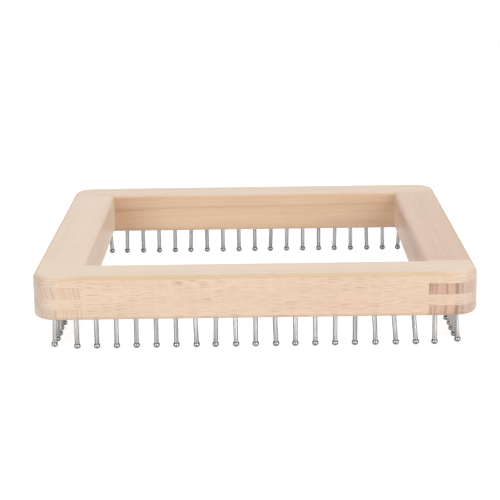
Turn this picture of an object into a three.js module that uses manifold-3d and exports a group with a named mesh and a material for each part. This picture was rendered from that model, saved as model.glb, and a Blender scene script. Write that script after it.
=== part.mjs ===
// Square knitting board: four box-jointed beech rails round an open middle, with a row of ball-ended
// steel pins pressed into the underside of each rail. Millimetres, +Z up. The board stands on the balls
// of its pins; the origin is on the floor under its middle, and the front rail is towards -Y.
import * as THREE from "three";
import { mergeVertices } from "three/addons/utils/BufferGeometryUtils.js";
import Module from "manifold-3d";

const wasm = await Module();
wasm.setup();

// Rows of pins
const frontPinPitch = 10; // centre to centre along the front and back rows
const frontRowPins = 19; // the back row has as many
const sidePinPitch = 9.8;
const sideRowPins = 21; // in each side row
const rowInset = 9.5; // from a rail's outer face to the middle of its row
const frontRowEnd = 11.5; // from the last front pin to the line of the side row
const sideRowEnd = 3.5; // from the last side pin to the line of the front row

// One pin
const pinDiameter = 2.4;
const ballLip = 0.55; // how far the ball stands out round the shank
const ballHeight = 3;
const ballTipDiameter = 1; // the small flat that the pin stands on
const neckLip = 0.2; // how far the neck above the ball stands out round the shank
const neckTaper = 1; // from the neck up to the bare shank
const pinReach = 17.2; // from the rail's underside down to the tip
const pinnedFingers = 2; // fingers of the box joint, from below, that a pin runs right through
const pinBite = 0.75; // how far it runs into the next one
const holeClearance = 0.05; // between the shank and the drilled wall
const holeEndGap = 0.3; // between the pin's inner end and the bottom of its hole
const drillRunIn = 1; // length of the drilling tool that is still below the rail
const separateSidePins = 9; // counted from the front; those behind are one piece with their rail
const joinedPinRoot = 3; // how far a pin of one piece with its rail runs into the wood

// Rails
const railWidth = 25;
const railHeight = 22.5;
const fingers = 4; // layers of the box joint, shared in turn by the two rails that meet
const glueLine = 0.1; // between faces that are glued together
const edgeRound = 2.5; // round-over along the outer top and bottom edges
const cornerRadius = 12; // the frame's upright corners, seen from above
const openingRound = 2.5; // round-over along the edges of the opening

// Steps of the round forms
const edgeSteps = 4;
const cornerSteps = 6;
const openingSteps = 3;
const ballSteps = 3;
const pinSides = 10;
const weldDistance = 1e-4; // corners nearer than this are one corner

// Worked out from the sizes above
const rowSpanX = (frontRowPins - 1) * frontPinPitch + 2 * frontRowEnd;
const rowSpanY = (sideRowPins - 1) * sidePinPitch + 2 * sideRowEnd;
const boardWidth = rowSpanX + 2 * rowInset;
const boardDepth = rowSpanY + 2 * rowInset;
const fingerHeight = railHeight / fingers;
const pinDepth = pinnedFingers * fingerHeight + pinBite; // length inside the rail
const pinRadius = pinDiameter / 2;
const neckRadius = pinRadius + neckLip;
const ballRadius = pinRadius + ballLip;

// The four sides: whether each runs along X, and which side of the middle it lies on.
const sides = {
  front: { alongX: true, sign: -1 },
  back: { alongX: true, sign: 1 },
  left: { alongX: false, sign: -1 },
  right: { alongX: false, sign: 1 },
};

const beech = { color: 0xe9cfb3, roughness: 0.62, metalness: 0 };
const rosyBeech = { color: 0xdcb9a2, roughness: 0.62, metalness: 0 };
const steel = { color: 0xc9cbcd, roughness: 0.28, metalness: 1 };

// A closed solid from a three.js geometry, for joining and cutting.
function solidOf(geometry) {
  geometry.deleteAttribute("normal");
  geometry.deleteAttribute("uv");
  const merged = mergeVertices(geometry, weldDistance);
  const corners = merged.index.array;
  const kept = [];
  for (let i = 0; i < corners.length; i += 3) {
    const [a, b, c] = corners.slice(i, i + 3);
    if (a !== b && b !== c && c !== a) {
      kept.push(a, b, c);
    }
  }
  const vertProperties = new Float32Array(merged.attributes.position.array);
  const mesh = new wasm.Mesh({ numProp: 3, vertProperties, triVerts: new Uint32Array(kept) });
  return new wasm.Manifold(mesh);
}

// A three.js geometry from a solid, measured from the point (x, y) of the board.
function geometryOf(solid, x = 0, y = 0) {
  const mesh = solid.getMesh();
  const geometry = new THREE.BufferGeometry();
  geometry.setAttribute("position", new THREE.BufferAttribute(new Float32Array(mesh.vertProperties), 3));
  geometry.setIndex(new THREE.BufferAttribute(new Uint32Array(mesh.triVerts), 1));
  geometry.translate(-x, -y, 0);
  geometry.computeVertexNormals();
  return geometry;
}

function box(low, high) {
  const size = high.map((value, axis) => value - low[axis]);
  const geometry = new THREE.BoxGeometry(...size);
  geometry.translate(...low.map((value, axis) => value + size[axis] / 2));
  return solidOf(geometry);
}

function rectangle(width, depth, radius) {
  const x = width / 2 - radius;
  const y = depth / 2 - radius;
  const shape = new THREE.Shape();
  shape.moveTo(x + radius, y);
  shape.absarc(x, y, radius, 0, Math.PI / 2);
  shape.absarc(-x, y, radius, Math.PI / 2, Math.PI);
  shape.absarc(-x, -y, radius, Math.PI, 1.5 * Math.PI);
  shape.absarc(x, -y, radius, 1.5 * Math.PI, 2 * Math.PI);
  return shape;
}

// The frame as one block, with rounded upright corners and rounded outer edges.
function outerBlock() {
  const inset = 2 * edgeRound;
  const outline = rectangle(boardWidth - inset, boardDepth - inset, cornerRadius - edgeRound);
  const geometry = new THREE.ExtrudeGeometry(outline, {
    depth: railHeight - 2 * edgeRound,
    curveSegments: cornerSteps,
    bevelThickness: edgeRound,
    bevelSize: edgeRound,
    bevelSegments: edgeSteps,
  });
  geometry.translate(0, 0, edgeRound);
  return solidOf(geometry);
}

// What is taken out of the middle: it widens at both ends, which rounds the opening's edges.
function openingBlock() {
  const x = boardWidth / 2 - railWidth;
  const y = boardDepth / 2 - railWidth;
  const outline = new THREE.Shape([
    new THREE.Vector2(-x, -y),
    new THREE.Vector2(x, -y),
    new THREE.Vector2(x, y),
    new THREE.Vector2(-x, y),
  ]);
  const geometry = new THREE.ExtrudeGeometry(outline, {
    depth: railHeight - 2 * openingRound,
    bevelThickness: openingRound,
    bevelSize: -openingRound,
    bevelOffset: openingRound,
    bevelSegments: openingSteps,
  });
  geometry.translate(0, 0, openingRound);
  return solidOf(geometry);
}

// A round pin, upright, with its ball down; z = 0 is the rail's underside.
function pinSolid(root) {
  const tip = -pinReach;
  const ballMiddle = tip + ballHeight / 2;
  const tipAngle = -Math.acos(ballTipDiameter / 2 / ballRadius);
  const neckAngle = Math.acos(neckRadius / ballRadius);
  const profile = [new THREE.Vector2(0, tip)];
  for (let step = 0; step <= ballSteps; step += 1) {
    const angle = tipAngle + ((neckAngle - tipAngle) * step) / ballSteps;
    const height = step === 0 ? tip : ballMiddle + (ballHeight / 2) * Math.sin(angle);
    profile.push(new THREE.Vector2(ballRadius * Math.cos(angle), height));
  }
  const neck = profile[profile.length - 1].y;
  profile.push(new THREE.Vector2(pinRadius, neck + neckTaper));
  profile.push(new THREE.Vector2(pinRadius, root));
  profile.push(new THREE.Vector2(0, root));
  const geometry = new THREE.LatheGeometry(profile, pinSides);
  geometry.rotateX(Math.PI / 2);
  return solidOf(geometry);
}

// The blind hole that a pin is pressed into; it starts below the wood.
function holeSolid() {
  const length = drillRunIn + pinDepth + holeEndGap;
  const radius = pinRadius + holeClearance;
  const geometry = new THREE.CylinderGeometry(radius, radius, length, pinSides);
  geometry.rotateX(Math.PI / 2);
  geometry.translate(0, 0, length / 2 - drillRunIn);
  return solidOf(geometry);
}

// One rail before it is shaped: its body between the corners, and its fingers through them.
function railBlank(name) {
  const { alongX, sign } = sides[name];
  const outer = (alongX ? boardDepth : boardWidth) / 2;
  const half = (alongX ? boardWidth : boardDepth) / 2;
  const across = [sign * outer, sign * (outer - railWidth)].sort((a, b) => a - b);
  const span = (reach, lowZ, highZ) => {
    const low = alongX ? [-reach, across[0], lowZ] : [across[0], -reach, lowZ];
    const high = alongX ? [reach, across[1], highZ] : [across[1], reach, highZ];
    return box(low, high);
  };
  let blank = span(half - railWidth - glueLine, 0, railHeight);
  for (let layer = alongX ? 0 : 1; layer < fingers; layer += 2) {
    const top = railHeight - layer * fingerHeight;
    const bottom = top - fingerHeight;
    const highZ = layer === 0 ? top : top - glueLine / 2;
    const lowZ = layer === fingers - 1 ? bottom : bottom + glueLine / 2;
    blank = blank.add(span(half, lowZ, highZ));
  }
  return blank;
}

// The places of a row's pins, numbered from the left or from the front.
function row(name) {
  const { alongX, sign } = sides[name];
  const count = alongX ? frontRowPins : sideRowPins;
  const pitch = alongX ? frontPinPitch : sidePinPitch;
  const places = [];
  for (let i = 0; i < count; i += 1) {
    const along = (i - (count - 1) / 2) * pitch;
    const place = alongX ? [along, (sign * rowSpanY) / 2] : [(sign * rowSpanX) / 2, along];
    places.push({
      name: `${name}_pin_${String(i + 1).padStart(2, "0")}`,
      place,
      separate: alongX || i < separateSidePins,
    });
  }
  return places;
}

function named(name, geometry, finish, x, y) {
  const material = new THREE.MeshStandardMaterial({ ...finish, flatShading: true });
  const mesh = new THREE.Mesh(geometry, material);
  mesh.name = name;
  mesh.position.set(x, y, 0);
  return mesh;
}

// A rail is what its blank keeps of the drilled frame, with the pins that are of one piece with it.
function railMesh(name, frame, joinedPin) {
  let solid = frame.intersect(railBlank(name));
  for (const pin of row(name).filter((each) => !each.separate)) {
    solid = solid.add(joinedPin.translate([...pin.place, 0]));
  }
  const { alongX, sign } = sides[name];
  const x = alongX ? 0 : (sign * (boardWidth - railWidth)) / 2;
  const y = alongX ? (sign * (boardDepth - railWidth)) / 2 : 0;
  return named(`${name}_rail`, geometryOf(solid, x, y), name === "right" ? rosyBeech : beech, x, y);
}

function knittingBoard() {
  const separatePins = Object.keys(sides).flatMap(row).filter((pin) => pin.separate);
  const hole = holeSolid();
  let frame = outerBlock().subtract(openingBlock());
  for (const pin of separatePins) {
    frame = frame.subtract(hole.translate([...pin.place, 0]));
  }

  const rails = new THREE.Group();
  const joinedPin = pinSolid(joinedPinRoot);
  for (const side of Object.keys(sides)) {
    rails.add(railMesh(side, frame, joinedPin));
  }

  const pins = new THREE.Group();
  const pinGeometry = geometryOf(pinSolid(pinDepth));
  for (const pin of separatePins) {
    pins.add(named(pin.name, pinGeometry, steel, ...pin.place));
  }

  const board = new THREE.Group();
  board.add(rails, pins);
  board.position.z = pinReach;
  return board;
}

export default knittingBoard();
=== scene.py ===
# A square knitting board: a frame of four box-jointed beech rails, open in the middle, that stands on
# the ball ends of 80 steel pins. The sections follow the order in which the board is put together.
import math

import bmesh
import bpy
from mathutils import Matrix, Vector


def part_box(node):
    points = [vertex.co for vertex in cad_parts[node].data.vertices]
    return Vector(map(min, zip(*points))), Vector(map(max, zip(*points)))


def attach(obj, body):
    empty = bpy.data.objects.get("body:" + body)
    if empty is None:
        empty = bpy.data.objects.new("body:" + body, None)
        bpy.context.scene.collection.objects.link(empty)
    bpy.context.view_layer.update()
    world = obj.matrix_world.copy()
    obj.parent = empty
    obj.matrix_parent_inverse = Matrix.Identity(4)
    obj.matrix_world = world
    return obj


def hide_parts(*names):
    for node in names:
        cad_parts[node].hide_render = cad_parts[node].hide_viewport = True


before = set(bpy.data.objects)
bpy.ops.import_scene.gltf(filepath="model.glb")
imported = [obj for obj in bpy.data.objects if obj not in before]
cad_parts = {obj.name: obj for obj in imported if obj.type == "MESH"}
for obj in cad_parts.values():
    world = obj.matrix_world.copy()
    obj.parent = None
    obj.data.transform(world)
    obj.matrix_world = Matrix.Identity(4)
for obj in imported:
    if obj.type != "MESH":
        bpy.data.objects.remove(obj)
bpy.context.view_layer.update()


# The view: a long lens in front of the front rail, looking a little down through the open middle.
# It stands a millimetre right of the middle, turned a quarter of a degree and leaning nearly one.
camera_place = (0.0011, -0.8652, 0.2353)
camera_down = math.radians(13.64)
camera_turn = math.radians(0.25)
camera_lean = math.radians(-0.826)
camera_lens = 113.9  # millimetres, on the usual sensor 36 mm wide

camera = bpy.data.objects.new("camera", bpy.data.cameras.new("camera"))
bpy.context.scene.collection.objects.link(camera)
camera.data.lens = camera_lens
upright = Matrix.Rotation(camera_turn, 4, "Z") @ Matrix.Rotation(math.pi / 2 - camera_down, 4, "X")
camera.matrix_world = Matrix.Translation(camera_place) @ upright @ Matrix.Rotation(camera_lean, 4, "Z")
bpy.context.scene.camera = camera
bpy.context.scene.view_settings.view_transform = "Standard"


# The block that the rails are shaped from: steamed beech, 222 mm square and 22.5 mm high. The glued
# frame is rounded as a whole, so its upright corners and long edges run on through the box joints.
edge_round = 0.0025
corner_radius = 0.012
edge_steps = 8
corner_steps = 14
cutter_overshoot = 0.001

front_low, front_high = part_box("front_rail")
outer_half = front_high.x
underside = front_low.z
top = front_high.z
rail_width = front_high.y - front_low.y
opening_half = outer_half - rail_width


def round_over(low, high, radius):
    """(distance drawn in, height) up the side of something whose lower and upper edges are rounded."""
    rises = [math.pi / 2 * step / edge_steps for step in range(edge_steps + 1)]
    lower = [(radius * (1 - math.sin(rise)), low + radius * (1 - math.cos(rise))) for rise in rises]
    upper = [(drawn_in, low + high - height) for drawn_in, height in reversed(lower)]
    return lower + upper


def outline(half, radius, height):
    """A square seen from above, with its corners rounded where the radius isn't nought."""
    points = []
    steps = corner_steps if radius else 0
    for quarter in range(4):
        middle_x = (half - radius) * (1 if quarter in (0, 3) else -1)
        middle_y = (half - radius) * (1 if quarter in (0, 1) else -1)
        for step in range(steps + 1):
            turn = (quarter + (step / steps if steps else 0)) * math.pi / 2
            x = middle_x + radius * math.cos(turn)
            y = middle_y + radius * math.sin(turn)
            points.append((x, y, height))
    return points


def linked(name, data):
    made = bpy.data.objects.new(name, data)
    bpy.context.scene.collection.objects.link(made)
    return made


def skinned(name, rings):
    """A closed mesh through rings of points that lie one above the other."""
    count = len(rings[0])
    faces = [tuple(reversed(range(count)))]
    for lower in range(0, count * (len(rings) - 1), count):
        for i in range(count):
            j = (i + 1) % count
            faces.append((lower + i, lower + j, lower + count + j, lower + count + i))
    faces.append(tuple(range(count * (len(rings) - 1), count * len(rings))))
    mesh = bpy.data.meshes.new(name)
    mesh.from_pydata([point for ring in rings for point in ring], [], faces)
    return linked(name, mesh)


def finished(piece):
    """The piece with what its modifiers make as its own plain mesh."""
    depsgraph = bpy.context.evaluated_depsgraph_get()
    mesh = bpy.data.meshes.new_from_object(piece.evaluated_get(depsgraph), depsgraph=depsgraph)
    piece.modifiers.clear()
    piece.data = mesh
    return piece


def worked(piece, operation, tool):
    """Cuts the piece by the tool, or keeps only what lies in the tool."""
    change = piece.modifiers.new(operation.title(), "BOOLEAN")
    change.operation = operation
    change.solver = "EXACT"
    change.object = tool
    finished(piece)


def cleared(*tools):
    for tool in tools:
        bpy.data.objects.remove(tool)


rounded_side = round_over(underside, top, edge_round)
block_rings = [
    outline(outer_half - drawn_in, corner_radius - drawn_in, height)
    for drawn_in, height in rounded_side
]
block = skinned("block", block_rings)
opening_rings = [outline(opening_half + drawn_in, 0, height) for drawn_in, height in rounded_side]
opening_rings.insert(0, outline(opening_half + edge_round, 0, underside - cutter_overshoot))
opening_rings.append(outline(opening_half + edge_round, 0, top + cutter_overshoot))
opening = skinned("opening", opening_rings)
worked(block, "DIFFERENCE", opening)


# The places of the pins: 19 in the front and back rows, 10 mm apart, and 21 in the side rows. Each
# hole is drilled by hand, so most pins stand up to half a degree askew, and a quarter of them more.
sides = ("front", "back", "left", "right")
pin_wire = 0.0024
pin_depth = 0.012
drill_play = 0.00005
hole_end_gap = 0.0003
drill_facets = 24
scatter = math.radians(0.4)  # the most about each axis
pivot = underside / 2  # a pin that stands askew is out at the rail by as much as at its ball

# Degrees that a pin's ball end stands out to the right, by the pin's number in its row
askew = {
    "front": {7: 1.8, 8: -1.5, 9: 1.2, 11: 1.6, 16: 2.7, 17: 4.2, 18: 5},
    "back": {1: 2.2, 2: -1.6, 6: -1.9, 11: -2.4, 12: -1.4, 15: -1.9, 17: 1.9, 19: -3.3},
    "left": {1: -3, 4: -3.5},
    "right": {1: 4, 4: 2, 5: -3},
}


def node(tree, kind, inputs=None, **settings):
    """A node of the tree, its inputs given as values or as the sockets that they come from."""
    made = tree.nodes.new(kind)
    for key, value in settings.items():
        setattr(made, key, value)
    for key, value in (inputs or {}).items():
        if isinstance(value, bpy.types.NodeSocket):
            tree.links.new(value, made.inputs[key])
        else:
            made.inputs[key].default_value = value
    return made


def pin_row_tree():
    """Sets an upright piece at every place of a row, each turned a little about its origin."""
    tree = bpy.data.node_groups.new("pin row", "GeometryNodeTree")
    sockets = {
        "Places": "NodeSocketGeometry",
        "First place": "NodeSocketVector",
        "Pitch": "NodeSocketVector",
        "Scatter": "NodeSocketFloat",
        "Seed": "NodeSocketInt",
        "Upright piece": "NodeSocketObject",
        "Metal": "NodeSocketMaterial",
    }
    for name, kind in sockets.items():
        tree.interface.new_socket(name=name, in_out="INPUT", socket_type=kind)
    tree.interface.new_socket(name="Row", in_out="OUTPUT", socket_type="NodeSocketGeometry")
    given = node(tree, "NodeGroupInput").outputs
    number = node(tree, "GeometryNodeInputIndex").outputs["Index"]
    along = node(
        tree,
        "ShaderNodeVectorMath",
        {0: given["Pitch"], 1: number, 2: given["First place"]},
        operation="MULTIPLY_ADD",
    )
    placed = node(
        tree,
        "GeometryNodeSetPosition",
        {"Geometry": given["Places"], "Position": along.outputs["Vector"]},
    )
    least = node(tree, "ShaderNodeMath", {0: given["Scatter"], 1: -1.0}, operation="MULTIPLY")
    stray = node(
        tree,
        "FunctionNodeRandomValue",
        {"Min": least.outputs["Value"], "Max": given["Scatter"], "Seed": given["Seed"]},
        data_type="FLOAT_VECTOR",
    )
    lean = node(tree, "GeometryNodeInputNamedAttribute", {"Name": "askew"}, data_type="FLOAT_VECTOR")
    turned = node(
        tree,
        "ShaderNodeVectorMath",
        {0: lean.outputs["Attribute"], 1: stray.outputs["Value"]},
        operation="ADD",
    )
    piece = node(tree, "GeometryNodeObjectInfo", {"Object": given["Upright piece"]})
    turn = node(tree, "FunctionNodeEulerToRotation", {"Euler": turned.outputs["Vector"]})
    set_in = node(
        tree,
        "GeometryNodeInstanceOnPoints",
        {
            "Points": placed.outputs["Geometry"],
            "Instance": piece.outputs["Geometry"],
            "Rotation": turn.outputs["Rotation"],
        },
    )
    real = node(tree, "GeometryNodeRealizeInstances", {"Geometry": set_in.outputs["Instances"]})
    plated = node(
        tree,
        "GeometryNodeSetMaterial",
        {"Geometry": real.outputs["Geometry"], "Material": given["Metal"]},
    )
    node(tree, "NodeGroupOutput", {"Row": plated.outputs["Geometry"]})
    return tree


pin_row = pin_row_tree()


def row_places(side):
    """The first place of a side's row, its pitch and its number of pins; the row's middle is at 0."""
    first_low, first_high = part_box(f"{side}_pin_01")
    second_low, second_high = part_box(f"{side}_pin_02")
    first = (first_low + first_high) / 2
    pitch = (second_low + second_high) / 2 - first
    first.z = pivot
    pitch.z = 0
    pitches_to_middle = -first.dot(pitch) / pitch.length_squared
    return first, pitch, round(2 * pitches_to_middle) + 1


def row_of(side, upright_piece, metal=None):
    """One side's row of pins, or of the drill that makes their holes, as a plain mesh."""
    first, pitch, count = row_places(side)
    places = bpy.data.meshes.new(f"{side}_row")
    places.from_pydata([(0, 0, 0)] * count, [], [])
    leans = places.attributes.new("askew", "FLOAT_VECTOR", "POINT")
    for number, lean in enumerate(leans.data, start=1):
        lean.vector = (0, -math.radians(askew[side].get(number, 0)), 0)
    row = linked(f"{side}_row", places)
    values = {
        "First place": first,
        "Pitch": pitch,
        "Scatter": scatter,
        "Seed": sides.index(side),
        "Upright piece": upright_piece,
        "Metal": metal,
    }
    modifier = row.modifiers.new("Row", "NODES")
    modifier.node_group = pin_row
    for socket in pin_row.interface.items_tree:
        if socket.in_out == "INPUT" and values.get(socket.name) is not None:
            modifier[socket.identifier] = values[socket.name]
    return finished(row)


def circle(radius, height, corners):
    turns = [2 * math.pi * i / corners for i in range(corners)]
    return [(radius * math.cos(turn), radius * math.sin(turn), height) for turn in turns]


def turned_piece(name, profile, facets):
    """A round closed mesh from (radius, height) pairs that run from the axis up and back to it."""
    made = bmesh.new()
    rings = []
    for radius, height in profile[1:-1]:
        rings.append([made.verts.new(point) for point in circle(radius, height, facets)])
    foot = made.verts.new((0, 0, profile[0][1]))
    head = made.verts.new((0, 0, profile[-1][1]))
    for i in range(facets):
        j = (i + 1) % facets
        made.faces.new((foot, rings[0][j], rings[0][i]))
        made.faces.new((head, rings[-1][i], rings[-1][j]))
        for low, high in zip(rings, rings[1:]):
            made.faces.new((low[i], low[j], high[j], high[i]))
    mesh = bpy.data.meshes.new(name)
    made.to_mesh(mesh)
    made.free()
    return linked(name, mesh)


drill_radius = pin_wire / 2 + drill_play
drill_low = underside - cutter_overshoot - pivot
drill_high = underside + pin_depth + hole_end_gap - pivot
drill_profile = [(0, drill_low), (drill_radius, drill_low), (drill_radius, drill_high), (0, drill_high)]
drill = turned_piece("drill", drill_profile, drill_facets)
drilled = [row_of(side, drill) for side in sides]
cleared(drill)


# The four rails: planed beech 25 mm wide, each cut at its ends into two fingers that mesh with its
# neighbour's two. Glue lines a twentieth of a millimetre wide are all that parts them.
fingers = 4
glue_line = 0.00005
wall_overshoot = 0.00001  # how far the tool that parts the rails runs past the opening's wall
crease = math.radians(35)


def comb(side, first_finger):
    """The room that a rail has in the block: all between the corners, and every other finger there.

    first_finger is 0 where the rail has the topmost finger, and 1 where its neighbour has it.
    """
    finger_height = (top - underside) / fingers
    steps = []
    for layer in range(fingers):
        own = layer % 2 == first_finger
        slack = glue_line / 2 if own else -glue_line / 2
        high = top + cutter_overshoot if layer == 0 else top - layer * finger_height - slack
        low = top - (layer + 1) * finger_height + slack
        if layer == fingers - 1:
            low = underside - cutter_overshoot
        reach = outer_half + cutter_overshoot if own else opening_half - glue_line
        steps += [(reach, high), (reach, low)]
    profile = steps + [(-reach, height) for reach, height in reversed(steps)]
    near = opening_half - wall_overshoot
    far = outer_half + cutter_overshoot
    rings = []
    for across in (near, far):
        if side in ("front", "back"):
            rings.append([(along, across, height) for along, height in profile])
        else:
            rings.append([(across, along, height) for along, height in profile])
    made = skinned(f"{side}_comb", rings)
    if side in ("front", "left"):
        made.data.transform(Matrix.Rotation(math.pi, 4, "Z"))
    shell = bmesh.new()
    shell.from_mesh(made.data)
    bmesh.ops.recalc_face_normals(shell, faces=shell.faces)
    shell.to_mesh(made.data)
    shell.free()
    return made


def new_material(name):
    material = bpy.data.materials.new(name)
    material.use_nodes = True
    material.node_tree.nodes.clear()
    return material


def ranged(tree, value, low, high, start=0.0, end=1.0, step="LINEAR"):
    """Runs from start to end as the value runs from low to high."""
    spans = {"Value": value, "From Min": low, "From Max": high, "To Min": start, "To Max": end}
    return node(tree, "ShaderNodeMapRange", spans, interpolation_type=step).outputs["Result"]


def mixed(tree, share, first, second):
    """The first colour, with a share of the second."""
    colours = {0: share, 6: first, 7: second}
    return node(tree, "ShaderNodeMix", colours, data_type="RGBA").outputs[2]


def surfaced(tree, finish):
    surface = node(tree, "ShaderNodeBsdfPrincipled", finish)
    node(tree, "ShaderNodeOutputMaterial", {"Surface": surface.outputs["BSDF"]})


# Features of the wood, in millimetres along the grain, along the radial axis and along the third axis
per_metre = 1000
sway_size = (90, 20, 20)
sway_reach = (0, 4, 4)
cloud_size = (70, 9, 9)
ray_size = (7, 7, 0.19)
ray_patch_size = (25, 25, 4)
fibre_size = (7, 0.3, 0.3)

# The levels of each one's noise between which it comes out, and how strongly it then shows, where 1 is
# the board's dark colour in full
cloud_levels = (0.35, 0.7)
cloud_share = 0.12
ray_levels = (0.56, 0.7)
ray_patch_levels = (0.35, 0.65)
sparse_rays = 0.5
end_grain_rays = 0.3
fibre_levels = (0.4, 0.75)
fibre_share = 0.14

# A year's growth: how uneven its width is, the part of it, from its palest wood, over which it darkens,
# and how dark the faintest years are beside the darkest
year_unevenness = 0.8
late_wood_part = (0.22, 0.45)
faint_year_levels = (0.3, 0.7)
faint_year_share = 0.2
bar_margin = 2

# How squarely a surface faces an axis, from where a look starts to where it is full
end_grain_facing = (0.5, 0.85)
ray_facing = (0.4, 0.9)
sanded_and_sheen_facing = (0.6, 0.95)
upright_facing = (0.8, 0.4)
wall_facing = (0.8, 0.2)
round_over_start = (0.1, 0.5)
round_over_end = (0.9995, 0.96)

# What finishing has left, and the painted light laid over it: the tops' pale tint is a painted sheen,
# the upright corners' grey is painted shade and reflection, and amber, what is left of the pale wood's
# colour on the upper round-overs, is partly oil and partly painted shade
painted_sheen_tint = (0.84, 0.83, 0.8)
painted_corner_grey_tint = (0.62, 0.6, 0.58)
painted_corner_grey_share = 0.18
painted_corner_grey_from = outer_half - 1.1 * corner_radius
painted_corner_grey_full = outer_half - 0.8 * corner_radius
oil_and_shade_amber = (0.83, 0.78, 0.67)
corner_oil_and_shade = 0.4
wall_side = (0.3, 0)  # shares of the way from the opening to the outside
planed_roughness = 0.33
sanded_roughness = 0.62
fibre_roughness = 0.1
fibre_relief = {"Distance": 0.00003, "Strength": 0.25}
oil_ior = 1.5


def beech(
    name,
    grain,
    radial,
    heart,
    rings,
    bars,
    pale,
    dark,
    soaked,
    streaks,
    dashes,
    painted_top_sheen,
    oiled_and_shaded,
    climb=0,
    veins=(),
    painted_light_at_wall_end=None,
):
    """Planed beech, cut so that its year rings follow one another along the radial axis.

    grain and radial are "X", "Y" or "Z". In millimetres, heart is where the rings' middle lies on the
    radial and on the third axis, and climb is how far the rings move outward in each millimetre along
    the grain, because a trunk tapers. rings is (width, darkness) of a year's growth, and bars are the
    rings that stand out, as (place on the radial axis, darkness, half width). soaked is how dark the
    oil makes the end grain, and streaks and dashes are how strongly the rings show along the grain and
    the rays on the rings' backs, where 1 is as strongly as the rings in the end grain.
    painted_top_sheen is how much of a pale tint the flat top and underside get at the rail's two ends:
    a painted sheen, standing for the white that the tops reflect when seen low. oiled_and_shaded is how
    dark and amber the upper round-over is, as (outside, at the opening): partly the oil it has drunk
    and partly painted shade, where it lacks the tops' sheen. veins are soft dark streaks along the
    grain, as (place on the radial axis, place on the third, reach, darkness), followed by where one is
    full and where it has faded out if it fades. painted_light_at_wall_end is a colour painted over one
    end of the opening's wall, paler for painted light and darker for painted shade, as (where it
    starts, where it is full, share, colour).
    """
    material = new_material(name)
    tree = material.node_tree

    def maths(operation, *values):
        inputs = dict(enumerate(values))
        return node(tree, "ShaderNodeMath", inputs, operation=operation).outputs["Value"]

    def vector(operation, *values):
        return node(tree, "ShaderNodeVectorMath", dict(enumerate(values)), operation=operation).outputs

    def between(value, low, high, start=0.0, end=1.0):
        return ranged(tree, value, low, high, start, end, "SMOOTHSTEP")

    def tinted(base, share, tint):
        return mixed(tree, share, base, (*tint, 1))

    surface_place = node(tree, "ShaderNodeTexCoord").outputs
    axes = node(tree, "ShaderNodeSeparateXYZ", {"Vector": surface_place["Object"]}).outputs
    third = ({"X", "Y", "Z"} - {grain, radial}).pop()
    in_order = {"X": axes[grain], "Y": axes[radial], "Z": axes[third]}
    in_metres = node(tree, "ShaderNodeCombineXYZ", in_order).outputs["Vector"]
    wood = vector("MULTIPLY", in_metres, [per_metre] * 3)["Vector"]
    along = maths("MULTIPLY", axes[grain], per_metre)

    def noise(size, detail=0.0):
        place = vector("MULTIPLY", wood, [1 / length for length in size])["Vector"]
        inputs = {"Vector": place, "Scale": 1.0, "Detail": detail}
        return node(tree, "ShaderNodeTexNoise", inputs).outputs

    def facing(axis):
        direction = [1 if letter == axis else 0 for letter in "XYZ"]
        return maths("ABSOLUTE", vector("DOT_PRODUCT", surface_place["Normal"], direction)["Value"])

    # A trunk isn't straight, so the rings wander by a millimetre or two along the rail.
    wander = vector("SUBTRACT", noise(sway_size, 1.0)["Color"], (0.5, 0.5, 0.5))["Vector"]
    swayed = vector("MULTIPLY_ADD", wander, sway_reach, wood)["Vector"]

    def from_line(radial_place, third_place):
        """The distance to a line along the grain, which sways as the trunk does."""
        offset = vector("SUBTRACT", swayed, (0, radial_place, third_place))["Vector"]
        return vector("LENGTH", vector("MULTIPLY", offset, (0, 1, 1))["Vector"])["Value"]

    # Which ring a point lies in is told by the place where that ring crosses the radial axis.
    outward = 1 if heart[0] < 0 else -1
    ring = maths("MULTIPLY_ADD", from_line(*heart), outward, heart[0])
    ring = maths("MULTIPLY_ADD", along, -climb, ring)

    end_grain = between(facing(grain), *end_grain_facing)
    ring_share = maths("MULTIPLY_ADD", end_grain, 1 - streaks, streaks)
    side_rays = maths("MULTIPLY", between(facing(radial), *ray_facing), dashes)
    ray_share = maths("MULTIPLY_ADD", end_grain, end_grain_rays, side_rays)

    cloud = between(noise(cloud_size, 2.0)["Fac"], *cloud_levels)
    colour = tinted((*pale, 1), maths("MULTIPLY", cloud, cloud_share), dark)
    colour = tinted(colour, maths("MULTIPLY", end_grain, soaked), dark)

    ring_width, ring_darkness = rings
    unevenness = {"W": maths("DIVIDE", ring, 2 * ring_width), "Scale": 1.0, "Detail": 1.0}
    uneven = node(tree, "ShaderNodeTexNoise", unevenness, noise_dimensions="1D").outputs["Fac"]
    years = maths("MULTIPLY_ADD", uneven, year_unevenness, maths("DIVIDE", ring, ring_width))
    late_wood = between(maths("PINGPONG", years, 0.5), *late_wood_part)
    faintest = faint_year_share * ring_darkness
    darkness_of_year = between(uneven, *faint_year_levels, faintest, ring_darkness)
    late_wood = maths("MULTIPLY", late_wood, darkness_of_year)
    colour = tinted(colour, maths("MULTIPLY", late_wood, ring_share), dark)

    if bars:
        first = bars[0][0] - bar_margin
        last = bars[-1][0] + bar_margin
        ramp = node(tree, "ShaderNodeValToRGB", {"Fac": ranged(tree, ring, first, last)})
        stops = ramp.color_ramp.elements
        stops[0].color = (0, 0, 0, 1)
        stops[-1].color = (0, 0, 0, 1)
        for place, darkness, half_width in bars:
            for side_step, shade in ((-half_width, 0), (0, darkness), (half_width, 0)):
                stop = stops.new((place + side_step - first) / (last - first))
                stop.color = (shade, shade, shade, 1)
        colour = tinted(colour, maths("MULTIPLY", ramp.outputs["Color"], ring_share), dark)

    for radial_place, third_place, reach, darkness, *fade in veins:
        shown = between(from_line(radial_place, third_place), 0, reach, darkness, 0)
        if fade:
            shown = maths("MULTIPLY", shown, between(along, *fade, 1, 0))
        colour = tinted(colour, shown, dark)

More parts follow.
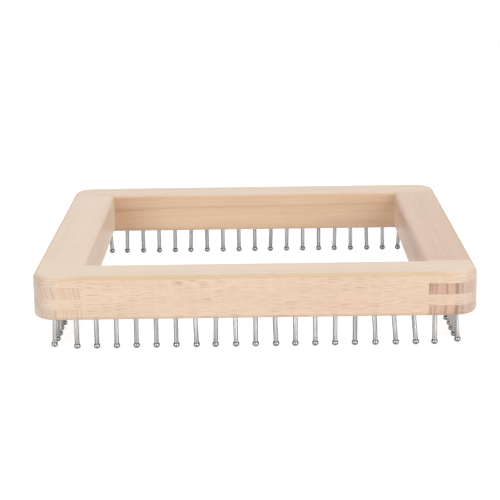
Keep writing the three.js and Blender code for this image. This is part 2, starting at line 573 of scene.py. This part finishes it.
    rays = between(noise(ray_size)["Fac"], *ray_levels)
    patches = between(noise(ray_patch_size)["Fac"], *ray_patch_levels, sparse_rays, 1.0)
    colour = tinted(colour, maths("MULTIPLY", maths("MULTIPLY", rays, patches), ray_share), dark)
    fibre = noise(fibre_size, 2.0)["Fac"]
    colour = tinted(colour, maths("MULTIPLY", between(fibre, *fibre_levels), fibre_share), dark)

    # The flat tops are sanded duller than the planed walls, and painted paler: a painted sheen, for the
    # white that they reflect when seen low.
    rising = vector("DOT_PRODUCT", surface_place["Normal"], (0, 0, 1))["Value"]
    flat = between(maths("ABSOLUTE", rising), *sanded_and_sheen_facing)
    painted_sheen = ranged(tree, axes[grain], -outer_half, outer_half, *painted_top_sheen)
    colour = tinted(colour, maths("MULTIPLY", flat, painted_sheen), painted_sheen_tint)

    # The upright corners are painted a little grey: painted shade and reflection, where they turn away
    # from the lamps.
    off_middle = [maths("ABSOLUTE", axes[letter]) for letter in "XY"]
    to_corner = maths("MINIMUM", *off_middle)
    painted_corner_grey = between(to_corner, painted_corner_grey_from, painted_corner_grey_full)
    painted_corner_grey = maths("MULTIPLY", painted_corner_grey, between(facing("Z"), *upright_facing, 0, painted_corner_grey_share))
    colour = tinted(colour, painted_corner_grey, painted_corner_grey_tint)

    # The upper round-overs are darker and more amber, most of all along the outside and away from the
    # corners:
    # partly the oil they have drunk, and partly painted shade where they lack the tops' sheen.
    rounded = maths("MULTIPLY", between(rising, *round_over_start), between(rising, *round_over_end))
    outside = between(maths("MAXIMUM", *off_middle), opening_half, outer_half - edge_round)
    outer_oil_and_shade, opening_oil_and_shade = oiled_and_shaded
    oil_and_shade_share = maths("MULTIPLY_ADD", outside, outer_oil_and_shade - opening_oil_and_shade, opening_oil_and_shade)
    by_corner = between(to_corner, opening_half, outer_half - corner_radius, 1, corner_oil_and_shade)
    oil_and_shade_share = maths("MULTIPLY", oil_and_shade_share, by_corner)
    oiled_and_shaded_wood = [level * share for level, share in zip(pale, oil_and_shade_amber)]
    colour = tinted(colour, maths("MULTIPLY", rounded, oil_and_shade_share), oiled_and_shaded_wood)

    # Painted light and shade: one end of the opening's wall gets a paler or darker colour, towards a
    # corner.
    if painted_light_at_wall_end:
        start, full, share, tint = painted_light_at_wall_end
        beside_opening = between(outside, *wall_side)
        in_opening = maths("MULTIPLY", between(facing("Z"), *wall_facing), beside_opening)
        at_end = between(along, start, full, 0, share)
        colour = tinted(colour, maths("MULTIPLY", at_end, in_opening), tint)

    worked_roughness = between(flat, 0, 1, planed_roughness, sanded_roughness)
    relief = node(tree, "ShaderNodeBump", {"Height": fibre, **fibre_relief})
    finish = {
        "Base Color": colour,
        "Roughness": maths("MULTIPLY_ADD", fibre, fibre_roughness, worked_roughness),
        "IOR": oil_ior,
        "Normal": relief.outputs["Normal"],
    }
    surfaced(tree, finish)
    return material


def rail(side, first_finger, wood):
    piece = linked(f"{side}_rail_wood", block.data.copy())
    room = comb(side, first_finger)
    worked(piece, "INTERSECT", room)
    for row in drilled:
        worked(piece, "DIFFERENCE", row)
    cleared(room)
    piece.data.materials.clear()
    piece.data.materials.append(wood)
    piece.data.shade_smooth()
    piece.data.set_sharp_from_angle(angle=crease)
    evened = piece.modifiers.new("Even normals", "WEIGHTED_NORMAL")
    evened.keep_sharp = True
    finished(piece)
    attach(piece, "root")
    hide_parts(f"{side}_rail")


# The boards: the front rail shows its rings' backs, and the ends of the rays as dashes. The back rail
# shows a golden face cut across its rings. The side rails have theirs upright, the right one rosier.
front_beech = beech(
    "front_beech",
    grain="X",
    radial="Y",
    heart=(60, 70),
    rings=(2.6, 0.4),
    bars=(),
    pale=(0.855, 0.665, 0.5),
    dark=(0.5, 0.27, 0.15),
    soaked=0.05,
    streaks=0.1,
    dashes=0.65,
    painted_top_sheen=(0.26, 0.26),
    oiled_and_shaded=(1, 0),
    veins=(
        (-111, 28, 60, 0.07, 80, -80),
        (-106, 42, 12, 0.1, -60, -20),
        (-111, 22.5, 6, 0.07),
    ),
)
back_beech = beech(
    "back_beech",
    grain="X",
    radial="Z",
    heart=(-150, 60),
    rings=(3.5, 0.08),
    bars=((22, 0.1, 2.5), (29, 0.06, 1.5), (33.7, 0.3, 1.5), (37, 0.1, 1.2)),
    pale=(0.825, 0.595, 0.415),
    dark=(0.45, 0.2, 0.08),
    soaked=0.1,
    streaks=1,
    dashes=0,
    painted_top_sheen=(0.36, 0.36),
    oiled_and_shaded=(0.4, 0.2),
    climb=0.015,
    veins=((39.5, 86.3, 4, 0.2), (31, 86, 2.5, 0.28, -84, -60)),
    # painted shade: the wall darker towards its left end, by the corner
    painted_light_at_wall_end=(-48, -92, 0.32, (0.45, 0.2, 0.08)),
)
left_beech = beech(
    "left_beech",
    grain="Y",
    radial="X",
    heart=(-150, 18),
    rings=(1.9, 0.2),
    bars=(
        (-106, 0.35, 0.6),
        (-104, 0.5, 0.6),
        (-102, 0.4, 0.6),
        (-99.1, 0.5, 0.9),
        (-94.5, 0.22, 0.5),
        (-92.7, 0.3, 0.5),
        (-90.4, 0.2, 0.5),
        (-87.7, 0.5, 0.6),
        (-85.5, 0.5, 0.6),
    ),
    pale=(0.845, 0.645, 0.48),
    dark=(0.5, 0.29, 0.21),
    soaked=0,
    streaks=0.05,
    dashes=0.1,
    painted_top_sheen=(0.17, 0.3),
    oiled_and_shaded=(0.4, 0),
    # painted light: the wall paler towards the back corner
    painted_light_at_wall_end=(10, 90, 0.6, (0.95, 0.88, 0.68)),
)
right_beech = beech(
    "right_beech",
    grain="Y",
    radial="X",
    heart=(-300, 28),
    rings=(2.3, 0.2),
    bars=(
        (86.2, 0.8, 0.7),
        (87.5, 0.4, 0.6),
        (89.2, 0.45, 0.8),
        (94.2, 0.6, 0.9),
        (99.4, 1, 1.7),
        (102.2, 0.7, 0.9),
    ),
    pale=(0.78, 0.55, 0.415),
    dark=(0.33, 0.155, 0.1),
    soaked=0.14,
    streaks=0.1,
    dashes=0.1,
    painted_top_sheen=(0.12, 0.22),
    oiled_and_shaded=(0.4, 0),
    veins=((86, 33, 6, 0.23), (104, 40, 30, 0.14, -90, 90)),
    # painted light: the wall paler towards the back corner
    painted_light_at_wall_end=(10, 90, 0.6, (0.95, 0.72, 0.6)),
)
rail("front", 0, front_beech)
rail("back", 0, back_beech)
rail("left", 1, left_beech)
rail("right", 1, right_beech)
cleared(block, opening, *drilled)


# The pins: nickel-bright steel wire 2.4 mm thick with a ball formed on its free end, pressed into the
# holes from below. The board stands on the small flats of the balls.
ball_width = 0.0035
ball_height = 0.003
tip_width = 0.001
neck_width = 0.0025
neck_taper = 0.0003
ball_steps = 12
neck_steps = 4
pin_facets = 28


def pin_profile():
    """(radius, height) from the tip up to the pressed-in end; the heights are from the pivot."""
    low_turn = -math.acos(tip_width / ball_width)
    high_turn = math.acos(neck_width / ball_width)
    profile = [(0, -pivot)]
    for step in range(ball_steps + 1):
        turn = low_turn + (high_turn - low_turn) * step / ball_steps
        height = 0 if step == 0 else ball_height / 2 * (1 + math.sin(turn))
        profile.append((ball_width / 2 * math.cos(turn), height - pivot))
    neck = profile[-1][1]
    for step in range(1, neck_steps + 1):
        share = step / neck_steps
        drawn_in = (neck_width - pin_wire) / 2 * (1 - share) ** 2
        profile.append((pin_wire / 2 + drawn_in, neck + neck_taper * share))
    inner_end = underside + pin_depth - pivot
    profile += [(pin_wire / 2, inner_end), (0, inner_end)]
    return profile


# Features of the drawn surface in each metre across and along the wire, the levels of their noise
# between which the shank's lines come out, and the greys of each stretch
drawn_features = (2200, 2200, 25)
shank_levels = (0.38, 0.62)
ball_greys = (0.27, 0.37)
# The band at the ball's neck is painted shade, for the board's dark underside that the ball reflects
# there
painted_neck_shade_greys = (0.12, 0.16)
shank_greys = (0.26, 0.46)
steel_roughness = (0.08, 0.2)

# Heights, as shares of the ball's, between which one stretch passes into the next
painted_neck_shade_heights = (0.68, 0.78)
shank_heights = (0.88, 1.0)


def bright_steel():
    """Drawn wire, lightly plated: lines along it from the die, and painted shade at the ball's neck."""
    material = new_material("bright_steel")
    tree = material.node_tree
    place = node(tree, "ShaderNodeTexCoord").outputs["Object"]
    height = node(tree, "ShaderNodeSeparateXYZ", {"Vector": place}).outputs["Z"]

    def greys(share, levels):
        return mixed(tree, share, *[(level, level, level, 1) for level in levels])

    def above(heights):
        return ranged(tree, height, *[ball_height * share for share in heights])

    stretched = node(tree, "ShaderNodeVectorMath", {0: place, 1: drawn_features}, operation="MULTIPLY")
    lines = {"Vector": stretched.outputs["Vector"], "Scale": 1.0, "Detail": 1.0}
    drawn = node(tree, "ShaderNodeTexNoise", lines).outputs["Fac"]
    shank_lines = ranged(tree, drawn, *shank_levels)
    colour = mixed(tree, above(painted_neck_shade_heights), greys(drawn, ball_greys), greys(drawn, painted_neck_shade_greys))
    colour = mixed(tree, above(shank_heights), colour, greys(shank_lines, shank_greys))
    roughness = ranged(tree, drawn, 0, 1, *steel_roughness)
    surfaced(tree, {"Base Color": colour, "Roughness": roughness, "Metallic": 1.0})
    return material


steel = bright_steel()
turned_pin = turned_piece("turned_pin", pin_profile(), pin_facets)
for side in sides:
    pins = row_of(side, turned_pin, steel)
    pins.name = f"{side}_pins"
    pins.data.shade_smooth()
    pins.data.set_sharp_from_angle(angle=crease)
    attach(pins, "root")
    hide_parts(*[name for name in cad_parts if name.startswith(f"{side}_pin_")])
cleared(turned_pin)


# The studio: a round white floor that keeps a light shadow, a lamp on each side of the camera, one
# overhead, and plain white all round. The gap between the two lamps is the dark line down each ball.
floor_radius = 1.25
floor_corners = 64
floor_white = 0.9
studio_level = 0.06

# How the floor shows to the camera and in the metal; only there has it its real shadow and its polish
floor_shaded_share = (0.3, 1)
floor_glow = (0.89, 0.1)
floor_polish = (0, 1)
polish_roughness = 0.1
polish_ior = 1.5

floor_mesh = bpy.data.meshes.new("floor")
floor_mesh.from_pydata(circle(floor_radius, 0, floor_corners), [], [tuple(range(floor_corners))])
floor = linked("floor", floor_mesh)


def seen_directly(tree):
    """1 for rays from the camera and for those that a shiny or clear surface sends on."""
    ray = node(tree, "ShaderNodeLightPath").outputs
    shown = ray["Is Camera Ray"]
    for sent_on in (ray["Is Glossy Ray"], ray["Is Transmission Ray"]):
        either = {0: shown, 1: sent_on}
        shown = node(tree, "ShaderNodeMath", either, operation="MAXIMUM").outputs["Value"]
    return shown


def white_paper():
    material = new_material("white_paper")
    tree = material.node_tree
    in_metal = node(tree, "ShaderNodeLightPath").outputs["Is Glossy Ray"]

    def by_viewer(levels):
        return ranged(tree, in_metal, 0, 1, *levels)

    matt = node(tree, "ShaderNodeBsdfDiffuse", {"Color": (floor_white, floor_white, floor_white, 1)})
    shaded = node(tree, "ShaderNodeBsdfDiffuse", {"Color": by_viewer(floor_shaded_share)})
    sheen = node(tree, "ShaderNodeFresnel", {"IOR": polish_ior}).outputs["Fac"]
    sheen = node(tree, "ShaderNodeMath", {0: sheen, 1: by_viewer(floor_polish)}, operation="MULTIPLY")
    gloss = {"Color": sheen.outputs["Value"], "Roughness": polish_roughness}
    polish = node(tree, "ShaderNodeBsdfGlossy", gloss)
    lit = node(tree, "ShaderNodeAddShader", {0: shaded.outputs["BSDF"], 1: polish.outputs["BSDF"]})
    light = {"Color": (1, 1, 1, 1), "Strength": by_viewer(floor_glow)}
    glow = node(tree, "ShaderNodeEmission", light)
    bright = node(tree, "ShaderNodeAddShader", {0: lit.outputs["Shader"], 1: glow.outputs["Emission"]})
    both = {0: seen_directly(tree), 1: matt.outputs["BSDF"], 2: bright.outputs["Shader"]}
    surface = node(tree, "ShaderNodeMixShader", both)
    node(tree, "ShaderNodeOutputMaterial", {"Surface": surface.outputs["Shader"]})
    return material


def white_room():
    """White where it is seen, and a low even light on everything else."""
    world = bpy.data.worlds.new("studio")
    world.use_nodes = True
    tree = world.node_tree
    tree.nodes.clear()
    level = ranged(tree, seen_directly(tree), 0, 1, studio_level, 1)
    white = node(tree, "ShaderNodeBackground", {"Color": (1, 1, 1, 1), "Strength": level})
    node(tree, "ShaderNodeOutputWorld", {"Surface": white.outputs["Background"]})
    return world


floor.data.materials.append(white_paper())
bpy.context.scene.world = white_room()

lamps_aim = Vector((0, 0, 0.03))


def soft_lamp(name, place, width, height, power):
    lamp = bpy.data.lights.new(name, "AREA")
    lamp.shape = "RECTANGLE"
    lamp.size = width
    lamp.size_y = height
    lamp.energy = power
    made = linked(name, lamp)
    aim = (lamps_aim - Vector(place)).to_track_quat("-Z", "Y")
    made.matrix_world = Matrix.Translation(place) @ aim.to_matrix().to_4x4()


soft_lamp("lamp_left", (-0.82, -1.13, 0.6), 0.5, 1.1, 7.6)
soft_lamp("lamp_right", (0.88, -1.09, 0.6), 0.86, 1.1, 12)
soft_lamp("lamp_above", (-0.05, 0.4, 1.4), 1.2, 1.2, 13.9)
